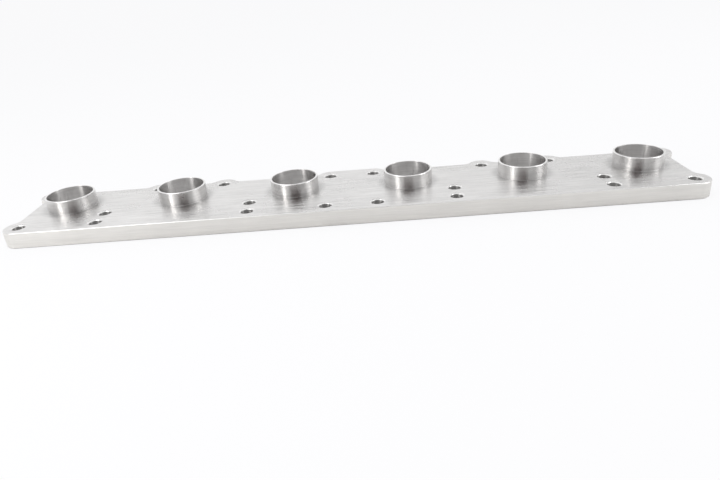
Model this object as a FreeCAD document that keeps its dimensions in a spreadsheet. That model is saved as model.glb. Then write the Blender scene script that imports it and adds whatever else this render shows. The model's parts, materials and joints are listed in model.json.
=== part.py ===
import FreeCAD, Part
import os
import Sketcher

# Turbo manifold flange for a large in-line six engine, milled in one piece from steel plate.
#
# A thick flat plate bolts to the cylinder head. Six thin-walled weld collars stand on it, one
# round each exhaust port, and the runner tubes of a turbo manifold are butt-welded to them. The
# back edge is cut away between the studs, so that each back stud keeps a round lug of its own.
#
# The origin is the centre of the gasket face, on the line through the ports. +X runs along the
# ports, +Y towards the scalloped edge and +Z from the gasket face to the collars. Millimetres.

PORTS = 6

SIZES = [
    ("plate_thickness", 15, "gasket face to collar face of the plate"),
    ("port_pitch", 107, "centre to centre of neighbouring ports"),
    ("port_bore", 41.2, "bore of a port, through plate and collar"),
    ("collar_wall", 1.65, "wall of a collar, as thick as the runner tube"),
    ("collar_height", 12.5, "height of a collar above the plate"),
    ("foot_bevel", 0.6, "slope that the cutter's corner leaves round a collar's foot"),
    ("rim_break", 0.35, "chamfer on both edges of a collar's rim"),
    ("stud_bore", 11, "clearance hole for a 10 mm stud"),
    ("stud_break", 0.5, "chamfer on a stud hole, on the collar side"),
    ("lug_radius", 13, "metal round the centre of a stud in a lug"),
    ("lug_blend", 8, "hollow radius where a lug runs into an edge"),
    ("back_scallop", 8.5, "depth of the back edge behind the lug tips"),
    ("end_scallop", 9.5, "depth of an end edge behind the back corner lug"),
    ("back_row", 30.5, "port line to the back row of studs"),
    ("middle_row", 25, "port line to the middle row of studs"),
    ("front_row", 45.5, "port line to the front row of studs"),
    ("back_stud_offset", 32.5, "along the row, from a port to its back studs"),
    ("front_stud_offset", 30.3, "along the row, from a port to its near front stud"),
    ("front_pair_offset", 39, "along the row, from a port to its far front stud"),
    ("middle_stud_offset", 40, "along the row, from a port to its middle stud"),
    ("edge_break", 0.6, "chamfer round the outline, on both faces"),
]

doc = FreeCAD.newDocument("turbo_flange")
sheet = doc.addObject("Spreadsheet::Sheet", "Sizes")
for row, (alias, size, meaning) in enumerate(SIZES, start=1):
    sheet.set(f"A{row}", alias)
    sheet.set(f"B{row}", str(size))
    sheet.set(f"C{row}", meaning)
    sheet.setAlias(f"B{row}", alias)
doc.recompute()

# The layout is the same on both sides of the middle, so only the right half is written out. Its
# three outermost ports carry the studs. The origin lies half a row of pitches from the last port.
OUTER_PORT = f"Sizes.port_pitch * {(PORTS - 1) / 2}"
MIDDLE_PORT = f"Sizes.port_pitch * {(PORTS - 3) / 2}"
INNER_PORT = f"Sizes.port_pitch * {(PORTS - 5) / 2}"

COLLAR_RADIUS = "(Sizes.port_bore / 2 + Sizes.collar_wall)"
RIM_LEVEL = "(Sizes.plate_thickness + Sizes.collar_height)"

FRONT_EDGE = "-(Sizes.front_row + Sizes.lug_radius)"
BACK_TIP = "Sizes.back_row + Sizes.lug_radius"
BACK_EDGE = f"{BACK_TIP} - Sizes.back_scallop"
END_EDGE = f"{OUTER_PORT} + Sizes.back_stud_offset + Sizes.lug_radius - Sizes.end_scallop"

BACK_STUDS = [
    (f"{INNER_PORT} - Sizes.back_stud_offset", "Sizes.back_row"),
    (f"{MIDDLE_PORT} - Sizes.back_stud_offset", "Sizes.back_row"),
    (f"{MIDDLE_PORT} + Sizes.back_stud_offset", "Sizes.back_row"),
    (f"{OUTER_PORT} + Sizes.back_stud_offset", "Sizes.back_row"),
]
MIDDLE_STUDS = [
    (f"{INNER_PORT} + Sizes.middle_stud_offset", "-Sizes.middle_row"),
    (f"{OUTER_PORT} - Sizes.middle_stud_offset", "-Sizes.middle_row"),
]
FRONT_STUDS = [
    (f"{INNER_PORT} - Sizes.front_stud_offset", "-Sizes.front_row"),
    (f"{INNER_PORT} + Sizes.front_pair_offset", "-Sizes.front_row"),
    (f"{OUTER_PORT} - Sizes.front_pair_offset", "-Sizes.front_row"),
    (f"{OUTER_PORT} + Sizes.front_stud_offset", "-Sizes.front_row"),
]
BACK_LUG = BACK_STUDS[0]
FRONT_CORNER_LUG = FRONT_STUDS[-1]


def value(formula):
    """The number that a formula over the sheet's cells gives now."""
    return float(sheet.evalExpression(formula))


def origin_part(body, role):
    """One of the body's own origin planes or axes."""
    return next(part for part in body.Origin.OriginFeatures if part.Role == role)


def gasket_sketch(body, name):
    """A sketch that lies on the gasket face."""
    sketch = body.newObject("Sketcher::SketchObject", name)
    sketch.AttachmentSupport = [(origin_part(body, "XY_Plane"), "")]
    sketch.MapMode = "FlatFace"
    return sketch


def hold(sketch, kind, geometry, point, formula):
    """Hold a point at its distance from the origin, on whichever side of it the point lies."""
    distance = value(formula)
    if distance < 0:
        index = sketch.addConstraint(Sketcher.Constraint(kind, geometry, point, -1, 1, -distance))
        sketch.setExpression(f"Constraints[{index}]", f"-({formula})")
    else:
        index = sketch.addConstraint(Sketcher.Constraint(kind, -1, 1, geometry, point, distance))
        sketch.setExpression(f"Constraints[{index}]", formula)


def draw_circle(sketch, centre, radius):
    """A circle held by its centre's place and by its radius, all three as formulas."""
    start = FreeCAD.Vector(value(centre[0]), value(centre[1]), 0)
    circle = Part.Circle(start, FreeCAD.Vector(0, 0, 1), value(radius))
    geometry = sketch.addGeometry(circle)
    hold(sketch, "DistanceX", geometry, 3, centre[0])
    hold(sketch, "DistanceY", geometry, 3, centre[1])
    index = sketch.addConstraint(Sketcher.Constraint("Radius", geometry, value(radius)))
    sketch.setExpression(f"Constraints[{index}]", radius)


def draw_polygon(sketch, corners):
    """A closed run of straight lines through corners that are given as formulas."""
    places = [FreeCAD.Vector(value(x), value(y), 0) for x, y in corners]
    lines = []
    for start, end in zip(places, places[1:] + places[:1]):
        lines.append(sketch.addGeometry(Part.LineSegment(start, end)))
    for line, following in zip(lines, lines[1:] + lines[:1]):
        sketch.addConstraint(Sketcher.Constraint("Coincident", line, 2, following, 1))
    for line, (x, y) in zip(lines, corners):
        hold(sketch, "DistanceX", line, 1, x)
        hold(sketch, "DistanceY", line, 1, y)


def pad(body, name, sketch, height):
    """Metal from the gasket face up to a height."""
    feature = body.newObject("PartDesign::Pad", name)
    feature.Profile = sketch
    feature.setExpression("Length", height)
    return feature


def cut_through(body, name, sketch):
    """A cut from the gasket face upwards through everything."""
    feature = body.newObject("PartDesign::Pocket", name)
    feature.Profile = sketch
    feature.Type = "ThroughAll"
    feature.Reversed = True
    return feature


def mirror(body, name, originals):
    """The same features on the other side of the middle."""
    feature = body.newObject("PartDesign::Mirrored", name)
    feature.Originals = originals
    feature.MirrorPlane = (origin_part(body, "YZ_Plane"), [""])
    body.Tip = feature
    return feature


def dress(body, kind, name, base, edges, size_property, size):
    """A fillet or a chamfer on edges of the feature before it."""
    numbers = [number for number, edge in enumerate(base.Shape.Edges, start=1)
               if any(edge.isSame(wanted) for wanted in edges)]
    feature = body.newObject(kind, name)
    feature.Base = (base, [f"Edge{number}" for number in numbers])
    feature.setExpression(size_property, size)
    return feature


def flat_face_at(shape, level):
    """The largest flat face that lies at a level."""
    faces = [face for face in shape.Faces
             if face.BoundBox.ZLength < 1e-6 and abs(face.BoundBox.ZMin - level) < 1e-6]
    return max(faces, key=lambda face: face.Area)


def round_edges(shape, radius, levels):
    """The full circles of one radius at given levels."""
    found = []
    for edge in shape.Edges:
        if not (edge.isClosed() and isinstance(edge.Curve, Part.Circle)):
            continue
        if abs(edge.Curve.Radius - radius) > 1e-6:
            continue
        if any(abs(edge.Curve.Center.z - level) < 1e-6 for level in levels):
            found.append(edge)
    return found


def hollow_corners(shape, probe, level):
    """Upright edges with metal more than half the way round, which a cutter leaves blended."""
    found = []
    directions = 24
    for edge in shape.Edges:
        box = edge.BoundBox
        if max(box.XLength, box.YLength) > 1e-6:
            continue
        corner = FreeCAD.Vector(box.XMin, box.YMin, level)
        inside = 0
        for step in range(directions):
            turn = FreeCAD.Rotation(FreeCAD.Vector(0, 0, 1), 360 * (step + 0.5) / directions)
            point = corner + turn.multVec(FreeCAD.Vector(probe, 0, 0))
            inside += shape.isInside(point, 1e-6, True)
        if inside > directions * 0.55:
            found.append(edge)
    return found


def build_plate(body):
    """The plate: a straight-sided web, a round lug at each edge stud, and hollow blends."""
    web_outline = gasket_sketch(body, "web_outline")
    draw_polygon(web_outline, [
        ("0", FRONT_EDGE),
        (FRONT_CORNER_LUG[0], FRONT_EDGE),
        (END_EDGE, FRONT_CORNER_LUG[1]),
        (END_EDGE, BACK_EDGE),
        (BACK_LUG[0], BACK_EDGE),
        (BACK_LUG[0], BACK_TIP),
        ("0", BACK_TIP),
    ])
    web = pad(body, "web", web_outline, "Sizes.plate_thickness")

    lug_outlines = gasket_sketch(body, "lug_outlines")
    for stud in BACK_STUDS + [FRONT_CORNER_LUG]:
        draw_circle(lug_outlines, stud, "Sizes.lug_radius")
    lugs = pad(body, "lugs", lug_outlines, "Sizes.plate_thickness")

    both_halves = mirror(body, "both_halves", [web, lugs])
    doc.recompute()
    corners = hollow_corners(both_halves.Shape, 0.5, value("Sizes.plate_thickness / 2"))
    dress(body, "PartDesign::Fillet", "lug_blends", both_halves, corners,
          "Radius", "Sizes.lug_blend")


def build_ports(body):
    """Collars in a row, each bored through with the plate below it."""
    first_port = (f"-({OUTER_PORT})", "0")
    collar_outline = gasket_sketch(body, "collar_outline")
    draw_circle(collar_outline, first_port, COLLAR_RADIUS)
    collar = pad(body, "collar", collar_outline, RIM_LEVEL)

    bore_outline = gasket_sketch(body, "bore_outline")
    draw_circle(bore_outline, first_port, "Sizes.port_bore / 2")
    bore = cut_through(body, "bore", bore_outline)

    row = body.newObject("PartDesign::LinearPattern", "port_row")
    row.Originals = [collar, bore]
    row.Direction = (origin_part(body, "X_Axis"), [""])
    row.setExpression("Length", f"Sizes.port_pitch * {PORTS - 1}")
    row.Occurrences = PORTS
    body.Tip = row


def build_stud_holes(body):
    """Plain clearance holes for the studs, in three rows."""
    stud_outlines = gasket_sketch(body, "stud_outlines")
    for stud in BACK_STUDS + MIDDLE_STUDS + FRONT_STUDS:
        draw_circle(stud_outlines, stud, "Sizes.stud_bore / 2")
    studs = cut_through(body, "stud_holes", stud_outlines)
    mirror(body, "all_stud_holes", [studs])


def finish_edges(body):
    """The small slope at each collar's foot, and a fine chamfer on the edges that hands meet.

    The holes keep square edges on the gasket face, where a chamfer would cost sealing width.
    """
    doc.recompute()
    top = value("Sizes.plate_thickness")
    rim = value(RIM_LEVEL)
    bore_radius = value("Sizes.port_bore / 2")
    collar_radius = value(COLLAR_RADIUS)
    stud_radius = value("Sizes.stud_bore / 2")

    feet = round_edges(body.Tip.Shape, collar_radius, [top])
    dress(body, "PartDesign::Chamfer", "collar_feet", body.Tip, feet,
          "Size", "Sizes.foot_bevel")
    doc.recompute()

    rims = round_edges(body.Tip.Shape, collar_radius, [rim])
    rims += round_edges(body.Tip.Shape, bore_radius, [rim])
    dress(body, "PartDesign::Chamfer", "rim_chamfers", body.Tip, rims,
          "Size", "min(Sizes.rim_break; Sizes.collar_wall / 3)")
    doc.recompute()

    holes = round_edges(body.Tip.Shape, stud_radius, [top])
    dress(body, "PartDesign::Chamfer", "stud_chamfers", body.Tip, holes,
          "Size", "Sizes.stud_break")
    doc.recompute()

    outline = flat_face_at(body.Tip.Shape, 0).OuterWire.Edges
    outline += flat_face_at(body.Tip.Shape, top).OuterWire.Edges
    dress(body, "PartDesign::Chamfer", "outline_chamfers", body.Tip, outline,
          "Size", "Sizes.edge_break")
    doc.recompute()


def check(objects):
    """Stop if any object has failed, or if a body's shape isn't one sound solid."""
    for item in objects:
        if "Invalid" in item.State or "Error" in item.State:
            raise RuntimeError(f"{item.Label} failed: {item.State}")
        if item.isDerivedFrom("PartDesign::Body"):
            shape = item.Shape
            if shape.isNull() or not shape.isValid() or len(shape.Solids) != 1:
                raise RuntimeError(f"{item.Label} isn't one sound solid")


flange = doc.addObject("PartDesign::Body", "flange")
flange.Label = "flange"
flange.Placement = FreeCAD.Placement()
build_plate(flange)
build_ports(flange)
build_stud_holes(flange)
finish_edges(flange)
doc.recompute()
check(doc.Objects)

os.makedirs("parts", exist_ok=True)
flange.Shape.exportStep(f"parts/{flange.Label}.step")
box = flange.Shape.BoundBox
print(f"{flange.Label}: {box.XLength:.1f} x {box.YLength:.1f} x {box.ZLength:.1f} mm, "
      f"{flange.Shape.Volume / 1000:.1f} cm3")
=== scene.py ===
# %% [markdown]
# # A turbo manifold flange
#
# The object is one long steel plate that bolts to the exhaust side of an in-line six engine. Six
# thin collars stand on it, and the runner tubes of the manifold are welded to their rims. It is
# milled from one piece of plate, so the whole of it becomes one closed mesh here. The exact model
# is loaded first, because the looks have to keep its places and sizes.

# %% Load the frame
import json
import math

import bmesh
import bpy
from mathutils import Matrix, Vector


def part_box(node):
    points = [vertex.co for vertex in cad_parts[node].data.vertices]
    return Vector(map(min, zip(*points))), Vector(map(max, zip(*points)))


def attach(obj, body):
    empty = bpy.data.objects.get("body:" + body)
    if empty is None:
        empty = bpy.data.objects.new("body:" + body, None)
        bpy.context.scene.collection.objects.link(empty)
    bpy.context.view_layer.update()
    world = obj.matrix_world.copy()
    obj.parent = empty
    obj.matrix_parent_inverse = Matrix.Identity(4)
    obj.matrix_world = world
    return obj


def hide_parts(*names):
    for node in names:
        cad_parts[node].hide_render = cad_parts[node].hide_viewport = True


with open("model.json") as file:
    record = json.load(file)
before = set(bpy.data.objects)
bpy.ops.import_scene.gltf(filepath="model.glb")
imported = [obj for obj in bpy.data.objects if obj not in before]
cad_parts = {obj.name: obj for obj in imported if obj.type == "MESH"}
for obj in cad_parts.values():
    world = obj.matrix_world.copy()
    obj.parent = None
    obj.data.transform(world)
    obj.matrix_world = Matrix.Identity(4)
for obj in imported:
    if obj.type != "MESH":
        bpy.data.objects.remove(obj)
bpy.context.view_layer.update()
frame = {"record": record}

# %% [markdown]
# ## Sizes
#
# The exact model names each bore, collar and row of stud holes, with its place and radius. Reading
# them from there, and not writing them again, means that this script follows when a size changes.
# The stud holes come in pairs, one each side of the middle, so each row gives a hole's distance
# from the middle as half its spacing.

# %% Read the ports, collars and stud holes
MM = 0.001
mounts = frame["record"]["mounts"]
port_mounts = [mount for mount in mounts if mount["kind"] == "bore"]
collar_mount = next(mount for mount in mounts if mount["kind"] == "pin")
stud_mounts = [mount for mount in mounts if mount["kind"] == "bolt_pattern"]

port_centres = [Vector(mount["pos_m"][:2]) for mount in port_mounts]
bore_radius = port_mounts[0]["dims"]["r_mm"] * MM
collar_radius = collar_mount["dims"]["r_mm"] * MM
stud_radius = stud_mounts[0]["dims"]["hole_r_mm"] * MM
plate_top = stud_mounts[0]["pos_m"][2]
low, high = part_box("flange")
rim_top = high.z

right_studs = []
for mount in stud_mounts:
    right_studs.append(Vector((mount["dims"]["spacing_x_mm"] * MM / 2, mount["pos_m"][1])))
left_studs = [Vector((-stud.x, stud.y)) for stud in right_studs]
stud_centres = left_studs + right_studs
print(len(port_centres), "ports and", len(stud_centres), "stud holes")

# %% [markdown]
# ## The outline
#
# The cutter went straight along the front. At the back and the ends it cut the plate away between
# the studs, so each stud there keeps a round lug, and the cutter's own round shape left a hollow
# blend each side of the lug. An outline like this could be drawn by hand as a Bezier curve, but it
# is nothing but straight lines and arcs that run into each other, so a function for one lug is
# shorter and exact. Each point keeps the direction in which its edge faces, so the outline can be
# drawn again a little smaller for the chamfers.

# %% One lug with its hollow blends
ARC_STEP = math.radians(3)
FRONT, END, BACK = math.radians(-90), 0.0, math.radians(90)
lug_blend = 8 * MM
back_scallop = 8.5 * MM
end_scallop = 9.5 * MM

front_row = min(stud.y for stud in right_studs)
back_row = max(stud.y for stud in right_studs)
lug_radius = front_row - low.y


def direction(angle):
    """The direction at an angle, counted from +X towards +Y."""
    return Vector((math.cos(angle), math.sin(angle)))


def arc(centre, radius, start, end):
    """Points along an arc, each with its outward direction. A hollow arc has a negative radius."""
    steps = max(1, round(abs(end - start) / ARC_STEP))
    angles = [start + (end - start) * step / steps for step in range(steps + 1)]
    return [(centre + direction(angle) * radius, direction(angle)) for angle in angles]


def lean(depth):
    """The angle at a lug between the way an edge faces and the centre of the blend into it."""
    return math.acos(min(1.0, (depth + lug_blend) / (lug_radius + lug_blend)))


def lug(centre, facing_before, depth_before, facing_after, depth_after):
    """A round lug between two edges, each given by its facing and its distance from the centre."""
    start = facing_before - lean(depth_before)
    end = facing_after + lean(depth_after)
    reach = lug_radius + lug_blend
    points = arc(centre, lug_radius, start, end)
    if start < facing_before:
        blend = arc(centre + direction(start) * reach, -lug_blend, facing_before, start)
        points = blend[:-1] + points
    if end > facing_after:
        points += arc(centre + direction(end) * reach, -lug_blend, end, facing_after)[1:]
    return points


# %% Join the lugs into the outline
back_depth = high.y - back_scallop - back_row
end_edge = high.x - end_scallop
back_lugs = [stud for stud in right_studs if math.isclose(stud.y, back_row)]
back_lugs.sort(key=lambda stud: -stud.x)
corner_lug, inner_lug = back_lugs[0], back_lugs[-1]
front_corner = max((stud for stud in right_studs if math.isclose(stud.y, front_row)),
                   key=lambda stud: stud.x)

right_half = lug(front_corner, FRONT, lug_radius, END, end_edge - front_corner.x)
right_half += lug(corner_lug, END, end_edge - corner_lug.x, BACK, back_depth)
for stud in back_lugs[1:-1]:
    right_half += lug(stud, BACK, back_depth, BACK, back_depth)
right_half += lug(inner_lug, BACK, back_depth, BACK, lug_radius)

left_half = []
for point, outward in reversed(right_half):
    left_half.append((Vector((-point.x, point.y)), Vector((-outward.x, outward.y))))
outline = left_half + right_half
print(len(outline), "points round the outline")

# %% [markdown]
# ## Sections
#
# Everything upright on the flange has a section that is carried round a path: the plate's edge
# round the outline, a collar with its bore round a port, a stud hole round its centre. A section is
# a list of steps. Each step says how far in from the path and how high it is, and which finish the
# surface has from there to the next step. A sharp corner on real steel is never quite sharp, and
# the little radius is what catches the light, so every corner of a section is rounded off by a few
# hundredths of a millimetre. A Bevel modifier could do that too, but on the long thin triangles of
# a large flat face its corners can cross, and rounding the section first can't go wrong. The
# larger breaks are real chamfers: round the plate, at the mouth of each stud hole, outside each rim
# and, hardly to be seen, inside it. At a collar's foot the cutter's corner leaves a small radius.

# %% Sections of the edge, the collar and the stud hole
edge_break = 0.6 * MM
rim_break = 0.35 * MM
bore_break = 0.1 * MM
stud_break = 1.2 * MM
foot_radius = 0.25 * MM
corner_radius = 0.06 * MM
FOOT_STEPS = 5
NEARLY_STRAIGHT = math.radians(150)

edge_section = [
    (edge_break, 0, "broken_edge"),
    (0, edge_break, "milled_edge"),
    (0, plate_top - edge_break, "broken_edge"),
    (edge_break, plate_top, "milled_face"),
]
stud_section = [
    (stud_radius + stud_break, plate_top, "broken_edge"),
    (stud_radius, plate_top - stud_break, "drilled_wall"),
    (stud_radius, 0, "milled_face"),
]
collar_section = []
for step in range(FOOT_STEPS):
    turn = math.radians(90) * step / FOOT_STEPS
    collar_section.append((collar_radius + foot_radius * (1 - math.sin(turn)),
                           plate_top + foot_radius * (1 - math.cos(turn)), "turned_wall"))
collar_section += [
    (collar_radius, plate_top + foot_radius, "turned_wall"),
    (collar_radius, rim_top - rim_break, "broken_edge"),
    (collar_radius - rim_break, rim_top, "faced_rim"),
    (bore_radius + bore_break, rim_top, "broken_edge"),
    (bore_radius, rim_top - bore_break, "bored_wall"),
    (bore_radius, 0, "milled_face"),
]


def rounded(section):
    """The section with each sharp corner between its ends replaced by three points of a curve.

    The first and last lie on the corner's two sides, and the middle one halfway along the parabola
    that touches both.
    """
    result = [section[0]]
    for before, corner, after in zip(section, section[1:], section[2:]):
        here = Vector(corner[:2])
        back = (Vector(before[:2]) - here).normalized()
        on = (Vector(after[:2]) - here).normalized()
        if back.angle(on) > NEARLY_STRAIGHT:
            result.append(corner)
            continue
        result.append((*(here + back * corner_radius), before[2]))
        result.append((*(here + (back + on) * corner_radius / 4), corner[2]))
        result.append((*(here + on * corner_radius), corner[2]))
    return result + [section[-1]]


edge_section = rounded(edge_section)
stud_section = rounded(stud_section)
collar_section = rounded(collar_section)
print("steps in each section:", len(edge_section), len(stud_section), len(collar_section))

# %% [markdown]
# ## One closed mesh
#
# A section carried round its path gives bands of faces. Then only two flat faces are missing, the
# top and the gasket face, and each has the outline as its border and all the holes in it. Blender's
# triangle fill takes such a set of loops and fills what lies between them. The other way, cutting
# the holes out of a slab with Boolean modifiers, often leaves slivers where so many thin rings
# meet. Each face is given its finish as a material number.

# %% Carry a section round its path
FINISHES = ["milled_face", "milled_edge", "broken_edge", "turned_wall", "bored_wall",
            "faced_rim", "drilled_wall"]
COLLAR_POINTS = 144
STUD_POINTS = 60


def circle(centre, count):
    """Points round a centre, each with its outward direction, for sections given as radii."""
    turns = [direction(BACK + math.tau * index / count) for index in range(count)]
    return [(centre.copy(), -turn) for turn in turns]


def carry(mesh, path, section):
    """Bands of faces along a section that goes round a path. Returns the first and last loop."""
    loops = []
    for inset, height, _ in section:
        places = [point - outward * inset for point, outward in path]
        loops.append([mesh.verts.new((*place, height)) for place in places])
    for step, (first, second) in enumerate(zip(loops, loops[1:])):
        for index, corner in enumerate(first):
            following = (index + 1) % len(first)
            face = mesh.faces.new((corner, first[following], second[following], second[index]))
            face.material_index = FINISHES.index(section[step][2])
    return loops[0], loops[-1]


def fill(mesh, borders, facing):
    """Fills the flat face between an outer border and the borders of its holes."""
    edges = []
    for border in borders:
        for corner, following in zip(border, border[1:] + border[:1]):
            edges.append(mesh.edges.get((corner, following)))
    found = bmesh.ops.triangle_fill(mesh, use_beauty=True, edges=edges, normal=(0, 0, facing))
    faces = [item for item in found["geom"] if isinstance(item, bmesh.types.BMFace)]
    for face in faces:
        if face.normal.z * facing < 0:
            face.normal_flip()
        face.material_index = FINISHES.index("milled_face")


# %% Build the flange
mesh = bmesh.new()
gasket_borders = []
top_borders = []
first, last = carry(mesh, outline, edge_section)
gasket_borders.append(first)
top_borders.append(last)
for centre in port_centres:
    first, last = carry(mesh, circle(centre, COLLAR_POINTS), collar_section)
    top_borders.append(first)
    gasket_borders.append(last)
for centre in stud_centres:
    first, last = carry(mesh, circle(centre, STUD_POINTS), stud_section)
    top_borders.append(first)
    gasket_borders.append(last)
fill(mesh, top_borders, 1)
fill(mesh, gasket_borders, -1)
for face in mesh.faces:
    face.smooth = True

open_edges = sum(1 for edge in mesh.edges if not edge.is_manifold)
volume = mesh.calc_volume(signed=True)
print(len(mesh.faces), "faces,", open_edges, "open edges,", round(volume * 1e6, 1), "cm3")

flange_mesh = bpy.data.meshes.new("milled_flange")
mesh.to_mesh(flange_mesh)
mesh.free()
flange = bpy.data.objects.new("milled_flange", flange_mesh)
bpy.context.scene.collection.objects.link(flange)

# %% [markdown]
# With smooth shading, a large flat face would bend its reflections towards the tiny rounded corner
# beside it. The Weighted Normal modifier lets the larger face decide at each corner, so flat faces
# stay flat and only the rounding bends.

# %% Keep the flat faces flat
weighting = flange.modifiers.new("flat_faces_lead", "WEIGHTED_NORMAL")
weighting.mode = "FACE_AREA"
weighting.weight = 100

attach(flange, "root")
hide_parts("flange")
print(flange.name, "rides on root and replaces flange")

# %% [markdown]
# ## Machined steel
#
# The whole flange is the same bare steel. What differs is how each surface was cut, and that is
# what one function takes: the colour that the cut leaves, how rough it is, and its lines. First
# come a few helpers, because a shader is a net of small nodes and each of them would otherwise
# take three or four lines.

# %% Helpers for shader nodes
def add_node(tree, kind, **values):
    """A node with its input sockets set by name, spaces written as underscores."""
    node = tree.nodes.new(kind)
    for name, value in values.items():
        node.inputs[name.replace("_", " ")].default_value = value
    return node


def number_node(tree, operation, *terms):
    """A Math node whose terms are numbers or other nodes' outputs."""
    node = tree.nodes.new("ShaderNodeMath")
    node.operation = operation
    for socket, term in zip(node.inputs, terms):
        if isinstance(term, bpy.types.NodeSocket):
            tree.links.new(term, socket)
        else:
            socket.default_value = term
    return node.outputs[0]


def range_node(tree, value, start, end, low_result, high_result, smooth=False):
    """A value between a start and an end, turned into one between two results."""
    node = add_node(tree, "ShaderNodeMapRange", From_Min=start, From_Max=end,
                    To_Min=low_result, To_Max=high_result)
    if smooth:
        node.interpolation_type = "SMOOTHSTEP"
    tree.links.new(value, node.inputs["Value"])
    return node.outputs["Result"]


# %% [markdown]
# ### The lines of the cut
#
# The lines are noise stretched along the way of the cut. Fine lines are the marks of single
# cutting edges. Wider ones are the passes, where the cutter came back a little higher or lower,
# and they break up what the surface mirrors. An image of brushed metal would need a layout of each
# surface, and it would show a seam in every bore. Solid noise is looked up by the place in the
# object, so it has none: on the flat faces it is stretched lengthwise, and on the walls level.
#
# Bare steel mirrors sharply along such lines and blurs across them, which is what Anisotropic
# does. Its tangent is the way of the cut: the flange's length on the flat faces, and on a wall the
# level direction, which is square to the wall's normal and to the upright.

# %% Stretched noise and its direction
def stretched_noise(tree, place, way, length, pitch, detail):
    """Noise drawn out into lines of a length, with a pitch between them."""
    along_y = pitch if way == "lengthwise" else length
    stretch = add_node(tree, "ShaderNodeMapping", Scale=(1 / length, 1 / along_y, 1 / pitch))
    tree.links.new(place, stretch.inputs["Vector"])
    noise = add_node(tree, "ShaderNodeTexNoise", Scale=1, Detail=detail, Roughness=0.6)
    tree.links.new(stretch.outputs["Vector"], noise.inputs["Vector"])
    return noise.outputs["Fac"]


def cutting_way(tree, way):
    """The direction of the cut at each place of a surface."""
    direction_node = tree.nodes.new("ShaderNodeVectorMath")
    if way == "lengthwise":
        direction_node.operation = "NORMALIZE"
        direction_node.inputs[0].default_value = (1, 0, 0)
    else:
        direction_node.operation = "CROSS_PRODUCT"
        direction_node.inputs[0].default_value = (0, 0, 1)
        surface = tree.nodes.new("ShaderNodeNewGeometry")
        tree.links.new(surface.outputs["Normal"], direction_node.inputs[1])
    return direction_node.outputs["Vector"]


# %% [markdown]
# ### Painted shade at the collars' feet
#
# Where plate and collar meet, each hides part of the room from the other, and the steel there
# looks darker. That shade is painted into the colour here: the steel darkens towards each
# collar's foot. Painted vertex colours could show that, but they would need a finer mesh there.
# The distance from a collar's foot can be worked out from the place in the object instead: the
# ports are evenly spaced, so the place along the flange is wrapped to the nearest one.

# %% Painted shade near a foot
FOOT_SHADE_REACH = 9 * MM
PORT_PITCH = port_centres[1].x - port_centres[0].x


def distance_node(tree, first, second):
    """The length of the longest side of a right triangle with these two sides."""
    squares = number_node(tree, "MULTIPLY", first, first)
    return number_node(tree, "SQRT", number_node(tree, "MULTIPLY_ADD", second, second, squares))


def painted_foot_shade(tree, place, painted_shade_at_foot):
    """Painted shade: one on open steel, sinking to a lower value at the nearest collar's foot."""
    split = tree.nodes.new("ShaderNodeSeparateXYZ")
    tree.links.new(place, split.inputs[0])
    x, y, z = split.outputs
    shifted = number_node(tree, "SUBTRACT", x, port_centres[0].x)
    along = number_node(tree, "WRAP", shifted, PORT_PITCH / 2, -PORT_PITCH / 2)
    outward = number_node(tree, "SUBTRACT", distance_node(tree, along, y), collar_radius)
    upward = number_node(tree, "SUBTRACT", z, plate_top)
    return range_node(tree, distance_node(tree, outward, upward), 0, FOOT_SHADE_REACH, painted_shade_at_foot, 1,
                      smooth=True)


print("ports are", round(PORT_PITCH / MM, 2), "mm apart")

# %% [markdown]
# ### The shader
#
# The fine lines and the passes do two things at once, as on the real steel: they tilt the surface
# a little (Bump), and they make it lighter and darker. Geometry could do the first, but lines less
# than a millimetre apart would take millions of faces. A soft cloud on top changes the roughness
# and the tone over a few centimetres, as hands and cutting fluid do. The quarter turn of the
# anisotropy puts the blur across the lines.

# %% A shader for machined steel
QUARTER_TURN = 0.25
CLOUDS_PER_METRE = 22
CLOUD_SHARE = 0.3
PASS_SHARE = 0.5
ROUGHNESS_SWING = 0.04


def mixed_numbers(tree, share, first, second):
    """Two numbers mixed, with a share of the second."""
    mix = tree.nodes.new("ShaderNodeMix")
    mix.inputs["Factor"].default_value = share
    tree.links.new(first, mix.inputs["A"])
    tree.links.new(second, mix.inputs["B"])
    return mix.outputs["Result"]


def tilted(tree, height, depth, before=None):
    """The surface's direction, tilted by a height that goes up to a depth in metres."""
    bump = add_node(tree, "ShaderNodeBump", Strength=1, Distance=depth)
    tree.links.new(height, bump.inputs["Height"])
    if before is not None:
        tree.links.new(before, bump.inputs["Normal"])
    return bump.outputs["Normal"]


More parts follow.
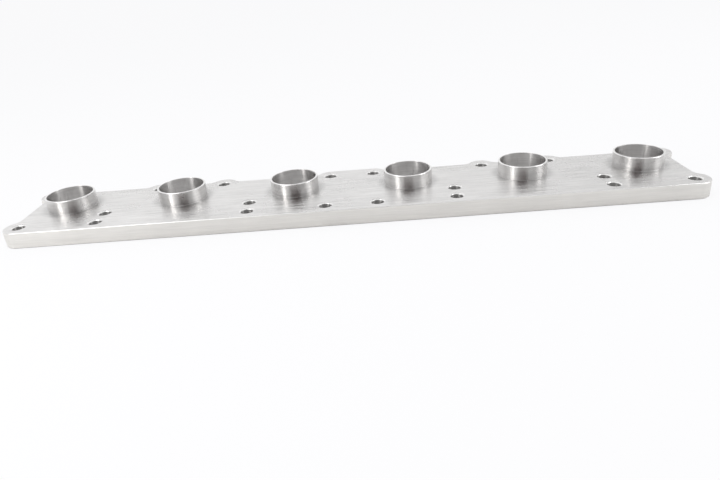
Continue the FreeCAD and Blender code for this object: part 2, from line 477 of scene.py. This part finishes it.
def machined_steel(name, colour, roughness, grain, way, lines, passes, tone, painted_shade_at_foot=1):
    """Bare cut steel. Lines and passes are each a length, a pitch and a depth in millimetres."""
    material = bpy.data.materials.new(name)
    material.use_nodes = True
    tree = material.node_tree
    shader = tree.nodes["Principled BSDF"]
    shader.inputs["Metallic"].default_value = 1
    shader.inputs["Anisotropic"].default_value = grain
    shader.inputs["Anisotropic Rotation"].default_value = QUARTER_TURN
    tree.links.new(cutting_way(tree, way), shader.inputs["Tangent"])

    place = tree.nodes.new("ShaderNodeTexCoord").outputs["Object"]
    fine = stretched_noise(tree, place, way, lines[0] * MM, lines[1] * MM, 3)
    wide = stretched_noise(tree, place, way, passes[0] * MM, passes[1] * MM, 2)
    over_passes = tilted(tree, wide, passes[2] * MM)
    tree.links.new(tilted(tree, fine, lines[2] * MM, over_passes), shader.inputs["Normal"])

    cloud_node = add_node(tree, "ShaderNodeTexNoise", Scale=CLOUDS_PER_METRE, Detail=4,
                          Roughness=0.55)
    tree.links.new(place, cloud_node.inputs["Vector"])
    cloud = cloud_node.outputs["Fac"]
    varied = range_node(tree, cloud, 0.3, 0.7, roughness - ROUGHNESS_SWING,
                        roughness + ROUGHNESS_SWING)
    tree.links.new(varied, shader.inputs["Roughness"])

    lined = mixed_numbers(tree, PASS_SHARE, fine, wide)
    clouded = mixed_numbers(tree, CLOUD_SHARE, lined, cloud)
    tint = tree.nodes.new("ShaderNodeMix")
    tint.data_type = "RGBA"
    tint.inputs["A"].default_value = (*((1 - tone) * part for part in colour), 1)
    tint.inputs["B"].default_value = (*((1 + tone) * part for part in colour), 1)
    tree.links.new(range_node(tree, clouded, 0.35, 0.65, 0, 1), tint.inputs["Factor"])
    toned_and_shaded = tree.nodes.new("ShaderNodeVectorMath")
    toned_and_shaded.operation = "SCALE"
    tree.links.new(tint.outputs["Result"], toned_and_shaded.inputs["Vector"])
    # The colour is darkened towards each collar's foot: painted shade.
    tree.links.new(painted_foot_shade(tree, place, painted_shade_at_foot), toned_and_shaded.inputs["Scale"])
    tree.links.new(toned_and_shaded.outputs["Vector"], shader.inputs["Base Color"])
    return material


# %% [markdown]
# ### The finishes
#
# A face mill leaves the flat faces bright, with broad passes. The plate's edge was cut by the side
# of an end mill, the collars were turned or milled round, and the bores were bored last. The bores
# and the stud holes have the strongest blur across their lines. Broken edges and the rims are small
# bright faces that mirror almost cleanly. The numbers were found by setting the tones of the render
# beside those of the photograph, place by place.

# %% A finish for each kind of cut
STEEL = (0.778, 0.77, 0.765)
WARM_STEEL = (0.778, 0.766, 0.745)
BORED_STEEL = (0.74, 0.729, 0.723)
DULL_STEEL = (0.64, 0.632, 0.626)
DEEP_STEEL = (0.55, 0.542, 0.535)
BRIGHT_STEEL = (0.87, 0.865, 0.86)
finishes = [
    # The milled face and the turned walls get painted shade towards each collar's foot.
    machined_steel("milled_face", STEEL, 0.28, 0.68, "lengthwise",
                   lines=(16, 0.9, 0.25), passes=(34, 2.6, 0.7), tone=0.13, painted_shade_at_foot=0.74),
    machined_steel("milled_edge", WARM_STEEL, 0.31, 0.4, "level",
                   lines=(25, 0.9, 0.006), passes=(60, 4, 0.02), tone=0.08),
    machined_steel("broken_edge", BRIGHT_STEEL, 0.18, 0.2, "level",
                   lines=(20, 0.3, 0.001), passes=(60, 3, 0.002), tone=0.03),
    machined_steel("turned_wall", DULL_STEEL, 0.28, 0.7, "level",
                   lines=(25, 0.9, 0.015), passes=(50, 2.4, 0.05), tone=0.12, painted_shade_at_foot=0.95),
    machined_steel("bored_wall", BORED_STEEL, 0.33, 1, "level",
                   lines=(25, 0.9, 0.012), passes=(40, 2.4, 0.02), tone=0.12),
    machined_steel("faced_rim", BRIGHT_STEEL, 0.22, 0, "lengthwise",
                   lines=(9, 3, 0.002), passes=(20, 8, 0.001), tone=0.03),
    machined_steel("drilled_wall", DEEP_STEEL, 0.46, 1, "level",
                   lines=(12, 0.5, 0.008), passes=(12, 2, 0.01), tone=0.08),
]
for finish in finishes:
    flange.data.materials.append(finish)
assert [finish.name for finish in finishes] == FINISHES
print("finishes:", ", ".join(FINISHES))

# %% [markdown]
# ## The studio
#
# The photograph was taken on a white sweep in soft light. Steel has almost no colour of its own,
# so what it mirrors is its look, and the collars show what stood round them: a bright soft light
# close by on the left with a narrow brighter strip in it, two soft lights higher up, and a faint
# one further off on the right.
#
# The floor is white paint, and to the camera mostly plain white, so that it stays white without
# more light on the steel and still keeps the flange's shadow.

# %% The floor
FLOOR_SIZE = 60
FLOOR_GAP = 0.02 * MM
PLAIN_WHITE_SHARE = 0.85
floor_material = bpy.data.materials.new("white_sweep")
floor_material.use_nodes = True
tree = floor_material.node_tree
tree.nodes.clear()
paint = add_node(tree, "ShaderNodeBsdfDiffuse", Color=(0.95, 0.95, 0.95, 1))
white = add_node(tree, "ShaderNodeEmission", Color=(0.98, 0.98, 0.992, 1), Strength=1)
rays = tree.nodes.new("ShaderNodeLightPath")
share = number_node(tree, "MULTIPLY", rays.outputs["Is Camera Ray"], PLAIN_WHITE_SHARE)
sweep = tree.nodes.new("ShaderNodeMixShader")
tree.links.new(share, sweep.inputs["Fac"])
tree.links.new(paint.outputs[0], sweep.inputs[1])
tree.links.new(white.outputs[0], sweep.inputs[2])
output = tree.nodes.new("ShaderNodeOutputMaterial")
tree.links.new(sweep.outputs[0], output.inputs["Surface"])

half = FLOOR_SIZE / 2
floor_corners = [(-half, -half, 0), (half, -half, 0), (half, half, 0), (-half, half, 0)]
floor_mesh = bpy.data.meshes.new("floor")
floor_mesh.from_pydata(floor_corners, [], [(0, 1, 2, 3)])
floor_mesh.materials.append(floor_material)
floor = bpy.data.objects.new("floor", floor_mesh)
floor.location.z = low.z - FLOOR_GAP
bpy.context.scene.collection.objects.link(floor)
print("floor,", FLOOR_SIZE, "m square")

# %% [markdown]
# The room behind the camera is dimmer than the white wall at the back, and the right side is a
# little dimmer again, so the world goes from grey to white. A photographed studio would give the
# same, but it would be an image, and three smooth ranges are enough. Only the camera itself sees
# the world as plain white.

# %% The world
BEHIND_CAMERA, BACK_WALL = 0.64, 0.98
UPPER_WALLS, CEILING = 0.7, 0.85
RIGHT_SIDE = 0.85
world = bpy.data.worlds.new("studio")
world.use_nodes = True
bpy.context.scene.world = world
tree = world.node_tree
background = tree.nodes["Background"]
background.inputs["Color"].default_value = (1, 1, 1, 1)
split = tree.nodes.new("ShaderNodeSeparateXYZ")
tree.links.new(tree.nodes.new("ShaderNodeTexCoord").outputs["Generated"], split.inputs[0])
right, away, up = split.outputs
depth = range_node(tree, away, -0.9, 0.8, BEHIND_CAMERA, BACK_WALL, smooth=True)
ceiling = range_node(tree, up, 0.5, 0.85, UPPER_WALLS, CEILING, smooth=True)
side = range_node(tree, right, 0.05, 0.6, 1, RIGHT_SIDE, smooth=True)
level = number_node(tree, "MULTIPLY", number_node(tree, "MAXIMUM", depth, ceiling), side)
rays = tree.nodes.new("ShaderNodeLightPath")
shown = number_node(tree, "MAXIMUM", level, rays.outputs["Is Camera Ray"])
tree.links.new(shown, background.inputs["Strength"])
print("world from", BEHIND_CAMERA, "behind the camera to", BACK_WALL, "at the back")


# %% The soft lights
def soft_light(name, place, width, height, brightness, colour):
    """A rectangle of light that faces the flange, as bright as so many times white."""
    lamp = bpy.data.lights.new(name, "AREA")
    lamp.shape = "RECTANGLE"
    lamp.size = width
    lamp.size_y = height
    lamp.energy = brightness * math.pi * width * height
    lamp.color = colour
    light = bpy.data.objects.new(name, lamp)
    aim = (-Vector(place)).to_track_quat("-Z", "Y")
    light.matrix_world = Matrix.Translation(place) @ aim.to_matrix().to_4x4()
    light.visible_camera = False
    bpy.context.scene.collection.objects.link(light)
    print(name, "of", round(lamp.energy, 2), "W")


LAMP_WHITE = (1, 0.985, 0.965)
WHITE = (1, 1, 1)
soft_light("left_light", (-0.59, -0.46, 0.28), 0.18, 0.46, 2.3, LAMP_WHITE)
soft_light("left_strip", (-0.6, -0.47, 0.32), 0.025, 0.42, 9, LAMP_WHITE)
soft_light("right_light", (1.9, -0.5, 0.7), 1.0, 1.2, 0.75, WHITE)
soft_light("upper_left_light", (-0.64, -0.33, 0.98), 0.9, 0.6, 1.4, WHITE)
soft_light("upper_right_light", (1.2, 0.0, 1.0), 0.42, 0.8, 2.6, WHITE)

# %% [markdown]
# Each collar has a dark strip in its middle, where it mirrors the camera's own unlit side by way
# of the plate. That needs a real card behind the camera and not a dark patch in the world, because
# each collar sees it from its own place. Most of the card counts only from the second mirroring
# on, or the plate would show it as a dark patch to anyone who looks from behind. Its upper part is
# what the front chamfer mirrors, and that one is seen at the first.

# %% The dark card behind the camera
CARD_Y = -0.57
CARD_BREAK, CARD_TOP = 1.35, 2.3
CARD_CLEAR_FROM = 0.12
BEFORE_SECOND_BOUNCE = 1.5
WARM_BLACK = (0.036, 0.01, 0.006, 1)
card_material = bpy.data.materials.new("dark_card")
card_material.use_nodes = True
tree = card_material.node_tree
cloth = tree.nodes["Principled BSDF"]
cloth.inputs["Base Color"].default_value = WARM_BLACK
cloth.inputs["Roughness"].default_value = 1
clear = tree.nodes.new("ShaderNodeBsdfTransparent")
rays = tree.nodes.new("ShaderNodeLightPath")
split = tree.nodes.new("ShaderNodeSeparateXYZ")
tree.links.new(tree.nodes.new("ShaderNodeTexCoord").outputs["Object"], split.inputs[0])
below = number_node(tree, "LESS_THAN", split.outputs["Z"], CARD_BREAK)
above = number_node(tree, "GREATER_THAN", split.outputs["Z"], CARD_CLEAR_FROM)
first_mirror = number_node(tree, "LESS_THAN", rays.outputs["Ray Depth"], BEFORE_SECOND_BOUNCE)
see_through = number_node(tree, "MULTIPLY", first_mirror,
                          number_node(tree, "MULTIPLY", below, above))
card_surface = tree.nodes.new("ShaderNodeMixShader")
tree.links.new(see_through, card_surface.inputs["Fac"])
tree.links.new(cloth.outputs[0], card_surface.inputs[1])
tree.links.new(clear.outputs[0], card_surface.inputs[2])
tree.links.new(card_surface.outputs[0], tree.nodes["Material Output"].inputs["Surface"])

lower_part = [(-0.26, 0.04), (0.28, 0.04), (0.28, CARD_BREAK), (-0.26, CARD_BREAK)]
upper_part = [(-0.18, CARD_BREAK), (0.3, CARD_BREAK), (0.3, CARD_TOP), (-0.18, CARD_TOP)]
card_corners = [(x, CARD_Y, z) for x, z in lower_part + upper_part]
card_mesh = bpy.data.meshes.new("dark_card")
card_mesh.from_pydata(card_corners, [], [(0, 1, 2, 3), (4, 5, 6, 7)])
card_mesh.materials.append(card_material)
card = bpy.data.objects.new("dark_card", card_mesh)
card.visible_camera = False
bpy.context.scene.collection.objects.link(card)
print("card up to", CARD_TOP, "m")

# %% [markdown]
# ## The camera
#
# The photograph looks at the flange from the front, about 26 degrees down, with the camera tipped a
# little so that the flange rises to the right. Its place and focal length were worked out from
# where the rims, the holes and the plate's edges lie in the picture.

# %% The camera
PHOTO_WIDTH = 720
FOCAL_PIXELS = 589.2
camera_place = Vector((19.7, -525.3, 208.7)) * MM
yaw, pitch, roll = math.radians(-1.774), math.radians(25.623), math.radians(-4.870)

lens = bpy.data.cameras.new("photo_camera")
lens.sensor_width = 36
lens.lens = lens.sensor_width * FOCAL_PIXELS / PHOTO_WIDTH
lens.clip_start = 0.01
camera = bpy.data.objects.new("photo_camera", lens)
camera.matrix_world = (Matrix.Translation(camera_place) @ Matrix.Rotation(-yaw, 4, "Z")
                       @ Matrix.Rotation(math.radians(90) - pitch, 4, "X")
                       @ Matrix.Rotation(roll, 4, "Z"))
bpy.context.scene.collection.objects.link(camera)
bpy.context.scene.camera = camera
bpy.context.scene.view_settings.view_transform = "Standard"
print("lens", round(lens.lens, 2), "mm")
